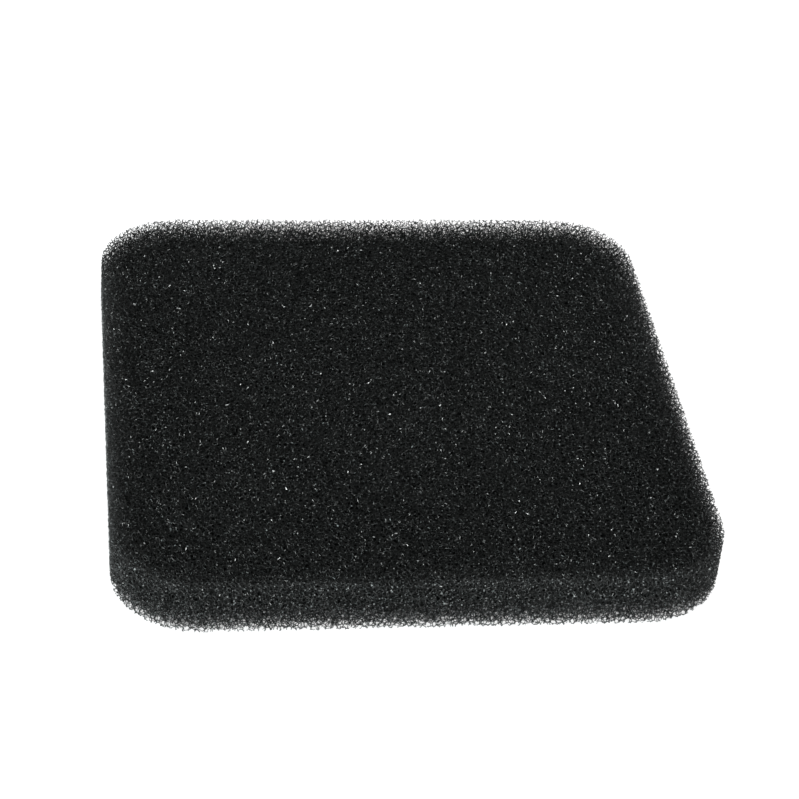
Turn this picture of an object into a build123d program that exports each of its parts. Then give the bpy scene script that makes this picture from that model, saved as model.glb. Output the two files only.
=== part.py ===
from build123d import *
import os

# A flat filter sponge: one rectangular pad with rounded corners, die-cut
# from a single sheet of black open-cell foam.
#
# Frame: +Z is up through the sheet. The origin is the centre of the lower
# face, on the surface that the pad lies on. The shorter sides of the
# outline run along X, and -Y is the front.

# Driving dimensions, in millimetres
pad_width = 104.0  # along X
pad_depth = 112.0  # along Y
sheet_thickness = 10.0  # stock foam sheet
corner_radius = 15.0  # the same die radius on all four corners
edge_softening = 0.5  # the cut cells give way along both rims

os.makedirs("parts", exist_ok=True)

# The pad: the die's outline pressed straight through the sheet
with BuildPart() as foam_pad:
    with BuildSketch(Plane.XY):
        RectangleRounded(pad_width, pad_depth, corner_radius)
    extrude(amount=sheet_thickness)
    cut_faces = foam_pad.faces().filter_by(Axis.Z)
    fillet(cut_faces.edges(), radius=edge_softening)

foam_pad.part.label = "foam_pad"
export_step(foam_pad.part, "parts/foam_pad.step")
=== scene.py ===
import itertools
import math

import bpy
import numpy as np
from mathutils import Matrix, Vector


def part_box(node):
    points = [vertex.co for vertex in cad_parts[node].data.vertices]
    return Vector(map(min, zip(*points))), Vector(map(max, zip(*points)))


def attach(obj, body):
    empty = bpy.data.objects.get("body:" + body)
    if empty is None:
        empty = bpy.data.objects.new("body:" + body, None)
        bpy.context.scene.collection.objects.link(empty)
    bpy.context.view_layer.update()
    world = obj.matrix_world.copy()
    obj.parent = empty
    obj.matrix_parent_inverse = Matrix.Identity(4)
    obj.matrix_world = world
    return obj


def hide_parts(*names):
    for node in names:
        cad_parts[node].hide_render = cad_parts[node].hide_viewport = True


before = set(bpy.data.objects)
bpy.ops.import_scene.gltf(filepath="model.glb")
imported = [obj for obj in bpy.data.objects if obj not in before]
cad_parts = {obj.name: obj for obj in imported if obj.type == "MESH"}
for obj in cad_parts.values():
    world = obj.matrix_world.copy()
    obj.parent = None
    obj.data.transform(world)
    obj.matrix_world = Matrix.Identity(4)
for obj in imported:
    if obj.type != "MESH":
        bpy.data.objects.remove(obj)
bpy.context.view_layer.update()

# A die-cut pad of black open-cell foam. The cut faces and the cells behind them are a real
# network of struts, thin enough along the rims for light to pass through, around a dark core.

MM = 0.001
rng = np.random.default_rng(20)

# The pad, from the CAD node
low, high = (np.array(corner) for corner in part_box("foam_pad"))
CENTRE = (low + high) / 2
HALF = (high - low) / 2
THICKNESS = high[2] - low[2]
CORNER = 1.5 * THICKNESS  # corner radius of the die
SOFT_RIM = 0.03 * THICKNESS  # the cut cells give way along both rims

# The foam
CELL = 0.88 * MM  # cube root of a cell's volume
STRUT = 0.050 * MM  # from a strut's axis to its ridges
TWIST = 0.7  # most that a strut turns about itself from end to end, in radians
BURR = 3.6  # how much thicker a cut end can be
TORN = 1.2  # how far the corners of a cut end can draw back, in its thickness
SHORTEST = 0.02 * MM  # shorter bits of strut are left out
STEP = CELL * 4 ** (-1 / 3)  # half the cube of the body-centred lattice that the cells start from
BLOCK = np.array([40, 40, 20])  # steps along the block of foam that is repeated
SHELL_TOP = 1.1 * MM  # depth of the modelled cells below the upper face
SHELL_SIDE = 1.2 * MM  # and behind the side wall
SHELL_BOTTOM = 0.5 * MM  # and above the lower face, which nothing sees into
RIM_REACH = 8.0 * MM  # how far in from the side wall light can still cross the pad's rim
RIM_DROP = 5.6 * MM  # and how far below the upper face or above the lower one
BEND_REACH = 4.5 * MM  # more than the foam is bent anywhere
WEAR_AND_LIGHT_REACH = 1.0 * MM  # how far in from the rims and the wall the foam is worn and painted lighter

COOL_WHITE = (0.96, 1.0, 0.99)  # the studio's light


def inward(points):
    """Depth behind the side wall, below the upper face and above the lower face."""
    flat = np.abs(points[:, :2] - CENTRE[:2]) - (HALF[:2] - CORNER)
    beyond = np.hypot(np.maximum(flat[:, 0], 0), np.maximum(flat[:, 1], 0))
    wall = CORNER - beyond - np.minimum(flat.max(axis=1), 0)
    return wall, high[2] - points[:, 2], points[:, 2] - low[2]


def depth(points):
    """Signed depth inside the pad's own surface, with its softened rims."""
    wall, top, bottom = inward(points)
    a, b = SOFT_RIM - wall, SOFT_RIM - np.minimum(top, bottom)
    outside = np.hypot(np.maximum(a, 0), np.maximum(b, 0))
    return SOFT_RIM - outside - np.minimum(np.maximum(a, b), 0)


def behind_shell(points):
    """How far a point lies inside the core, past the cells that can be seen."""
    wall, top, bottom = inward(points)
    slope = math.hypot(1 / RIM_REACH, 1 / RIM_DROP)
    over = (wall / RIM_REACH + top / RIM_DROP - 1) / slope
    under = (wall / RIM_REACH + bottom / RIM_DROP - 1) / slope
    shells = wall - SHELL_SIDE, top - SHELL_TOP, bottom - SHELL_BOTTOM
    return np.minimum.reduce([*shells, over, under])


def circumcentres(a, b, c):
    """Centre of the sphere through the origin and three points."""
    aa, bb, cc = (np.einsum("ij,ij->i", v, v)[:, None] for v in (a, b, c))
    above = aa * np.cross(b, c) + bb * np.cross(c, a) + cc * np.cross(a, b)
    below = 2 * np.einsum("ij,ij->i", a, np.cross(b, c))
    below[np.abs(below) < 1e-12] = 1e-12
    return above / below[:, None]


def foam_block():
    """A block of foam that repeats along X, Y and Z, in lattice steps. Its cells are the Voronoi cells
    of a shaken body-centred lattice. Gives the corners, and the edges as start, end and wrap, where
    the end's corner is taken one block further on where the wrap says so."""
    grid = np.indices(BLOCK).reshape(3, -1).T
    odd = grid % 2
    grid = grid[(odd[:, 0] == odd[:, 1]) & (odd[:, 1] == odd[:, 2])]
    number = np.zeros(BLOCK, np.int64)
    number[tuple(grid.T)] = np.arange(len(grid))
    shake = rng.uniform(-0.7, 0.7, grid.shape)

    reach = sorted(o for o in itertools.product(range(-3, 4), repeat=3)
                   if o[0] % 2 == o[1] % 2 == o[2] % 2 and 0 < sum(c * c for c in o) <= 12)
    who = {o: number[tuple(((grid + o) % BLOCK).T)] for o in reach}
    away = {o: o + shake[who[o]] - shake for o in reach}
    nearest = np.stack([away[o] for o in sorted(reach, key=lambda o: sum(c * c for c in o))])
    close = set(reach)

    # Four cells that share an empty sphere meet in a corner, and an edge joins the two corners that
    # have three of their cells in common. Those three, as a number, are the edge's key.
    span = 17  # more than twice the steps between two neighbours, so that each offset has its own code
    widest = 3.05  # squared radius: the neighbours in reach can't tell whether wider spheres are empty
    corners, keys, bases = [], [], []
    for trio in itertools.combinations([o for o in reach if o > (0, 0, 0)], 3):
        apart = (tuple(np.subtract(q, p).tolist()) for p, q in itertools.combinations(trio, 2))
        if not all(way in close for way in apart):
            continue
        centre = circumcentres(*(away[o] for o in trio))
        radius = np.einsum("ij,ij->i", centre, centre)
        live = np.flatnonzero(radius < widest)
        for others in nearest:
            gap = others[live] - centre[live]
            live = live[np.einsum("ij,ij->i", gap, gap) > radius[live] * (1 - 1e-9)]
        corners.append((grid + shake + centre)[live])
        cells = [(0, 0, 0), *trio]
        for left_out in range(4):
            face = np.array(cells[:left_out] + cells[left_out + 1:])
            code = (face[1:] - face[0] + span // 2) @ (span ** 2, span, 1)
            base = grid[live] + face[0]
            home = number[tuple((base % BLOCK).T)]
            keys.append((home * span ** 3 + code[0]) * span ** 3 + code[1])
            bases.append(base)
    counts = [len(found) for found in corners]
    firsts = np.cumsum(counts) - counts
    whose = np.concatenate([np.arange(first, first + count) for first, count in zip(firsts, counts)
                            for _ in range(4)])
    corners, keys, bases = np.vstack(corners), np.concatenate(keys), np.vstack(bases)
    order = np.argsort(keys, kind="stable")
    keys, whose, bases = keys[order], whose[order], bases[order]
    same = np.flatnonzero(keys[1:] == keys[:-1])
    return corners, whose[same], whose[same + 1], bases[same] - bases[same + 1]


def settle(corners, start, end, wrap, turns=2, pull=0.5):
    """Evens out the struts the way surface tension does, so that no two corners stay crowded."""
    degree = np.bincount(start, minlength=len(corners)) + np.bincount(end, minlength=len(corners))
    for _ in range(turns):
        total = np.empty_like(corners)
        for axis in range(3):
            total[:, axis] = (
                np.bincount(start, corners[end, axis] + wrap[:, axis], len(corners))
                + np.bincount(end, corners[start, axis] - wrap[:, axis], len(corners)))
        shift = total / np.maximum(degree, 1)[:, None] - corners
        corners = corners + pull * shift * (degree > 2)[:, None]
    return corners


def bend(points):
    """Shifts the foam smoothly, by more than a cell, so that the repeated block is cut differently
    wherever it comes to a surface. Each shift is a shear, which leaves the cells' volume alone."""
    x, y, z = (points / MM).T
    shift = np.stack([
        1.0 * np.sin(0.10 * y + 0.08 * z + 0.4),
        1.0 * np.sin(0.09 * x - 0.10 * z + 1.7),
        2.0 * np.sin(0.060 * x + 0.035 * y + 0.9) + 1.6 * np.sin(0.041 * x - 0.073 * y + 2.3)], axis=1)
    return points + shift * MM


def struts():
    """Every strut to show: its two ends and its thickness at each."""
    corners, first, second, wrap = foam_block()
    corners = settle(corners, first, second, wrap)
    heavy = rng.uniform(0.55, 1.45, len(corners)) ** 1.5  # some corners gather more foam than others
    start, end = corners[first] * STEP, (corners[second] + wrap) * STEP
    thick = STRUT * np.column_stack([heavy[first], heavy[second]])
    thick *= rng.uniform(0.8, 1.2, (len(first), 1))
    block = BLOCK * STEP
    least = np.floor((low - BEND_REACH) / block).astype(int)
    most = np.ceil((high + BEND_REACH) / block).astype(int)
    starts, ends, thicks = [], [], []
    for place in itertools.product(*(range(a, b) for a, b in zip(least, most))):
        a, b = bend(start + block * place), bend(end + block * place)
        inside = np.maximum(depth(a), depth(b)) > 0
        a, b, t = a[inside], b[inside], thick[inside]
        seen = np.minimum(behind_shell(a), behind_shell(b)) < 0
        starts.append(a[seen])
        ends.append(b[seen])
        thicks.append(t[seen])
    return np.vstack(starts), np.vstack(ends), np.vstack(thicks)


def cut_at_surface(start, end, thick):
    """Cuts the struts off at the faces that the die and the saw cut. Also tells which struts were cut."""
    flip = depth(start) < depth(end)
    start[flip], end[flip] = end[flip], start[flip].copy()
    thick[flip] = thick[flip, ::-1].copy()
    out = depth(end) < 0
    way = end[out] - start[out]
    near, far = np.zeros((len(way), 1)), np.ones((len(way), 1))
    for _ in range(10):
        middle = (near + far) / 2
        inside = depth(start[out] + way * middle)[:, None] > 0
        near, far = np.where(inside, middle, near), np.where(inside, far, middle)
    end[out] = start[out] + way * near
    thick[out, 1] = thick[out, 0] + (thick[out, 1] - thick[out, 0]) * near[:, 0]
    left = np.linalg.norm(end - start, axis=1) > SHORTEST
    return start[left], end[left], thick[left], out[left]


def prisms(start, end, thick, cut):
    """Three-sided struts: six points and three side faces each, and a torn end where one was cut. Also
    tells how heavy the strut is at each point, where 1 is usual."""
    way = end - start
    way /= np.linalg.norm(way, axis=1)[:, None]
    side = rng.normal(size=way.shape)
    side -= way * np.einsum("ij,ij->i", side, way)[:, None]
    side /= np.linalg.norm(side, axis=1)[:, None]
    other = np.cross(way, side)
    thick[cut, 1] *= 1 + (BURR - 1) * rng.random(cut.sum()) ** 2
    twist = rng.uniform(-TWIST, TWIST, (len(way), 1))
    rings = []
    for k, (middle, turned) in enumerate(((start, 0), (end, twist))):
        for ridge in (0, math.tau / 3, 2 * math.tau / 3):
            ray = np.cos(ridge + turned) * side + np.sin(ridge + turned) * other
            rings.append(middle + thick[:, k, None] * ray)
    for ring in rings[3:]:
        ring[cut] -= way[cut] * (thick[cut, 1] * rng.uniform(0, TORN, cut.sum()))[:, None]
    points = np.stack(rings, axis=1).reshape(-1, 3)
    points[:, 2] = np.clip(points[:, 2], low[2], high[2])
    six = np.arange(len(start))[:, None] * 6
    corners = ([0, 1, 4, 3], [1, 2, 5, 4], [2, 0, 3, 5])
    sides = np.stack([six + face for face in corners], axis=1).reshape(-1, 4)
    caps = six[cut] + [3, 4, 5]
    girth = np.repeat(thick / STRUT, 3, axis=1).ravel()
    return points, sides, caps, girth


def mesh_from(name, points, *groups):
    """An object from points and groups of faces, where a group's faces all have as many corners."""
    mesh = bpy.data.meshes.new(name)
    mesh.vertices.add(len(points))
    mesh.vertices.foreach_set("co", np.ascontiguousarray(points, np.float32).ravel())
    loops = np.concatenate([faces.ravel() for faces in groups])
    sizes = np.concatenate([np.full(len(faces), faces.shape[1]) for faces in groups])
    mesh.loops.add(len(loops))
    mesh.loops.foreach_set("vertex_index", loops.astype(np.int32))
    mesh.polygons.add(len(sizes))
    mesh.polygons.foreach_set("loop_start", (np.cumsum(sizes) - sizes).astype(np.int32))
    mesh.update(calc_edges=True)
    mesh.shade_flat()
    piece = bpy.data.objects.new(name, mesh)
    bpy.context.scene.collection.objects.link(piece)
    return piece


def wear_and_light_at(points):
    """How much the foam is worn and painted lit, from 0 to 1: most along the two rims, where it is
    handled and light shines through, and some all over the side wall, as painted light from the bright
    floor."""
    wall, top, bottom = inward(points)
    from_rim = np.hypot(wall, np.minimum(top, bottom))
    # Painted light: the rim term is real wear and also the light shining through the rims; the wall term
    # paints the light scattered up from the bright floor.
    return 0.35 * np.exp(-from_rim / WEAR_AND_LIGHT_REACH) + 0.45 * np.exp(-wall / WEAR_AND_LIGHT_REACH)


def foam_cells():
    """The cells that can be seen, as one mesh of struts, with lighter faces where they were cut, whose
    lightness also paints the glints of the cut ends.
    """
    points, sides, caps, girth = prisms(*cut_at_surface(*struts()))
    piece = mesh_from("foam_cells", points, sides, caps)
    piece.data.materials.append(foam_material("black_foam", 0.0014, 0.0042, 0.19, 0.46))
    # The cut ends are lighter, and their light colour also paints the glint dots that the cut ends show.
    piece.data.materials.append(foam_material("cut_foam_and_painted_glints", 0.019, 0.050, 0.28, 0.46))
    slots = np.zeros(len(sides) + len(caps), np.int32)
    slots[len(sides):] = 1
    piece.data.polygons.foreach_set("material_index", slots)
    for name, values in (("wear_and_light", wear_and_light_at(points)), ("girth", girth)):
        attribute = piece.data.attributes.new(name, "FLOAT", "POINT")
        attribute.data.foreach_set("value", values.astype(np.float32))
    return piece


def outline(inset, per_corner=8):
    """The pad's outline, moved inwards. Its corners get tighter, but never quite sharp."""
    radius = max(CORNER - inset, 0.2 * MM)
    hub = HALF[:2] - inset - radius
    points = []
    for quarter, (sx, sy) in enumerate(((1, 1), (-1, 1), (-1, -1), (1, -1))):
        for k in range(per_corner + 1):
            angle = math.pi / 2 * (quarter + k / per_corner)
            points.append((CENTRE[0] + sx * hub[0] + radius * math.cos(angle),
                           CENTRE[1] + sy * hub[1] + radius * math.sin(angle)))
    return np.array(points)


def foam_core():
    """The dark inside of the pad, out of reach of the light that crosses its edges."""
    rings = []
    for z, inset in (
            (low[2] + SHELL_BOTTOM, RIM_REACH * (1 - SHELL_BOTTOM / RIM_DROP)),
            (low[2] + RIM_DROP * (1 - SHELL_SIDE / RIM_REACH), SHELL_SIDE),
            (high[2] - RIM_DROP * (1 - SHELL_SIDE / RIM_REACH), SHELL_SIDE),
            (high[2] - SHELL_TOP, RIM_REACH * (1 - SHELL_TOP / RIM_DROP))):
        ring = outline(inset)
        rings.append(np.column_stack([ring, np.full(len(ring), z)]))
    n = len(rings[0])
    middles = [(CENTRE[0], CENTRE[1], low[2] + SHELL_BOTTOM), (CENTRE[0], CENTRE[1], high[2] - SHELL_TOP)]
    points = np.vstack(rings + [middles])
    step = np.column_stack([np.arange(n), (np.arange(n) + 1) % n])
    faces = []
    for ring in range(3):
        a, b = (step + ring * n).T
        faces.append(np.column_stack([a, b, b + n]))
        faces.append(np.column_stack([a, b + n, a + n]))
    faces.append(np.column_stack([step[:, ::-1], np.full(n, 4 * n)]))
    faces.append(np.column_stack([step + 3 * n, np.full(n, 4 * n + 1)]))
    return mesh_from("foam_core", points, np.vstack(faces))


def noise_at(nodes, links, place, grain, detail):
    """A noise texture whose blotches are about one grain wide."""
    noise = nodes.new("ShaderNodeTexNoise")
    noise.inputs["Scale"].default_value = 1 / grain
    noise.inputs["Detail"].default_value = detail
    links.new(place.outputs["Object"], noise.inputs["Vector"])
    return noise


def ramp_over(nodes, links, source, stops):
    """Greys with a faint blue-green tint along a value, from pairs of position and brightness."""
    ramp = nodes.new("ShaderNodeValToRGB")
    for element, (position, lightened) in zip(ramp.color_ramp.elements, stops):
        element.position = position
        element.color = (lightened, lightened * 1.05, lightened * 1.04, 1)
    links.new(source, ramp.inputs["Fac"])
    return ramp


def range_over(nodes, links, source, least, most, start=0.3, stop=0.7):
    """A value that runs from least to most while the source runs from start to stop."""
    spread = nodes.new("ShaderNodeMapRange")
    spread.inputs["From Min"].default_value = start
    spread.inputs["From Max"].default_value = stop
    spread.inputs["To Min"].default_value = least
    spread.inputs["To Max"].default_value = most
    links.new(source, spread.inputs["Value"])
    return spread.outputs["Result"]


def foam_material(name, dark, light, smooth, rough):
    """Black polyurethane: the dye changes from strut to strut and in wide blotches, heavy struts shine
    more than fine ones, worn struts are duller, and the skin is finely wrinkled. Struts along the rims
    and on the side wall are lighter: wear along the rims, and painted light along the rims and on the
    wall."""
    mat = bpy.data.materials.new(name)
    mat.use_nodes = True
    nodes, links = mat.node_tree.nodes, mat.node_tree.links
    p = nodes["Principled BSDF"]
    place = nodes.new("ShaderNodeTexCoord")
    blotches = noise_at(nodes, links, place, 9 * MM, 2)
    struts_apart = noise_at(nodes, links, place, 0.6 * CELL, 1)
    both = nodes.new("ShaderNodeMath")
    both.operation = "MULTIPLY_ADD"
    links.new(struts_apart.outputs["Fac"], both.inputs[0])
    both.inputs[1].default_value = 0.6
    half = nodes.new("ShaderNodeMath")
    half.operation = "MULTIPLY"
    half.inputs[1].default_value = 0.4
    links.new(blotches.outputs["Fac"], half.inputs[0])
    links.new(half.outputs["Value"], both.inputs[2])
    dye = ramp_over(nodes, links, both.outputs["Value"], ((0.35, dark), (0.65, light)))
    worn_and_lit = nodes.new("ShaderNodeAttribute")
    worn_and_lit.attribute_name = "wear_and_light"
    # Painted light: lightens the colour where the wear and light attribute is high, for wear along the
    # rims and for light through the rims and from the floor on the side wall.
    lightened = nodes.new("ShaderNodeMix")
    lightened.data_type = "RGBA"
    lightened.inputs["B"].default_value = (3.0 * light, 3.1 * light, 3.1 * light, 1)
    links.new(worn_and_lit.outputs["Fac"], lightened.inputs["Factor"])
    links.new(dye.outputs["Color"], lightened.inputs["A"])
    links.new(lightened.outputs["Result"], p.inputs["Base Color"])
    heavy = nodes.new("ShaderNodeAttribute")
    heavy.attribute_name = "girth"
    uneven = nodes.new("ShaderNodeMath")
    uneven.operation = "MULTIPLY_ADD"
    uneven.inputs[1].default_value = 0.8
    links.new(struts_apart.outputs["Fac"], uneven.inputs[0])
    links.new(heavy.outputs["Fac"], uneven.inputs[2])
    sheen = range_over(nodes, links, uneven.outputs["Value"], rough, smooth, 1.0, 1.9)
    duller = nodes.new("ShaderNodeMath")
    duller.operation = "MULTIPLY_ADD"
    duller.inputs[1].default_value = 0.25
    links.new(worn_and_lit.outputs["Fac"], duller.inputs[0])
    links.new(sheen, duller.inputs[2])
    links.new(duller.outputs["Value"], p.inputs["Roughness"])
    p.inputs["Specular IOR Level"].default_value = 0.32
    wrinkles = noise_at(nodes, links, place, 0.05 * MM, 2)
    bump = nodes.new("ShaderNodeBump")
    bump.inputs["Strength"].default_value = 0.25
    bump.inputs["Distance"].default_value = 0.01 * MM
    links.new(wrinkles.outputs["Fac"], bump.inputs["Height"])
    links.new(bump.outputs["Normal"], p.inputs["Normal"])
    return mat


def core_material():
    """Stands for the cells deeper down, with their shade painted in: their struts show as a faint web
    between black pores, which are painted shade.
    """
    mat = bpy.data.materials.new("foam_depth_painted_shade")
    mat.use_nodes = True
    nodes, links = mat.node_tree.nodes, mat.node_tree.links
    p = nodes["Principled BSDF"]
    place = nodes.new("ShaderNodeTexCoord")
    web = nodes.new("ShaderNodeTexVoronoi")
    web.feature = "DISTANCE_TO_EDGE"
    web.inputs["Scale"].default_value = 1 / CELL
    links.new(place.outputs["Object"], web.inputs["Vector"])
    # Painted shade: the pores between the web are near black for the shade deep in the foam.
    shade = ramp_over(nodes, links, web.outputs["Distance"], ((0.03, 0.012), (0.16, 0.001)))
    links.new(shade.outputs["Color"], p.inputs["Base Color"])
    links.new(range_over(nodes, links, web.outputs["Distance"], 0.6, 1.0), p.inputs["Roughness"])
    p.inputs["Specular IOR Level"].default_value = 0.0
    bump = nodes.new("ShaderNodeBump")
    bump.inputs["Distance"].default_value = 0.2 * MM
    bump.invert = True
    links.new(web.outputs["Distance"], bump.inputs["Height"])
    links.new(bump.outputs["Normal"], p.inputs["Normal"])
    return mat


def camera():
    """Looks at the pad from the photo's place: in front, above and a little to the left."""
    elevation, turn, roll = (math.radians(d) for d in (35.65, 9.50, 5.05))
    distance = 0.4456
    aim = Vector((1.26 * MM, -5.15 * MM, high[2]))
    back = Vector((0, -math.cos(elevation), math.sin(elevation)))
    look = (-back).to_track_quat("-Z", "Y").to_matrix().to_4x4()
    around = Matrix.Rotation(-turn, 4, "Z") @ Matrix.Translation(aim + back * distance)
    cam = bpy.data.objects.new("camera", bpy.data.cameras.new("camera"))
    bpy.context.scene.collection.objects.link(cam)
    cam.matrix_world = around @ look @ Matrix.Rotation(roll, 4, "Z")
    cam.data.sensor_width = 36
    cam.data.lens = 111.8
    bpy.context.scene.camera = cam


def area(name, place, size, power, colour=COOL_WHITE):
    """A soft light that faces the pad."""
    light = bpy.data.lights.new(name, "AREA")
    light.shape = "RECTANGLE"
    light.size, light.size_y = size
    light.energy = power
    light.color = colour
    lamp = bpy.data.objects.new(name, light)
    bpy.context.scene.collection.objects.link(lamp)
    lamp.location = place
    lamp.rotation_euler = (-Vector(place)).to_track_quat("-Z", "Y").to_euler()


def studio():
    """A wide pale floor, a light near the camera, a low one that lifts the walls, and one overhead."""
    far = 6.0
    points = np.array([(x * far, y * far, low[2]) for x, y in ((-1, -1), (1, -1), (1, 1), (-1, 1))])
    floor = mesh_from("floor", points, np.array([[0, 1, 2, 3]]))
    mat = bpy.data.materials.new("floor")
    mat.use_nodes = True
    p = mat.node_tree.nodes["Principled BSDF"]
    p.inputs["Base Color"].default_value = (0.99, 0.95, 0.96, 1)
    p.inputs["Roughness"].default_value = 0.9
    p.inputs["Specular IOR Level"].default_value = 0.0
    floor.data.materials.append(mat)
    world = bpy.data.worlds.new("studio")
    bpy.context.scene.world = world
    world.use_nodes = True
    bg = world.node_tree.nodes["Background"]
    bg.inputs["Color"].default_value = (*COOL_WHITE, 1)
    bg.inputs["Strength"].default_value = 0.40
    area("key", (-0.27, -1.61, 1.28), (0.47, 0.47), 52.0)
    area("low", (-1.00, -0.90, 0.22), (1.2, 0.36), 20.5, (0.86, 1.0, 1.0))
    area("top", (0.3, 0.3, 1.1), (0.4, 0.4), 2.0)


bpy.context.scene.view_settings.view_transform = "Standard"
camera()
studio()
cells = foam_cells()
core = foam_core()
core.data.materials.append(core_material())
for piece in (cells, core):
    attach(piece, "root")
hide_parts("foam_pad")
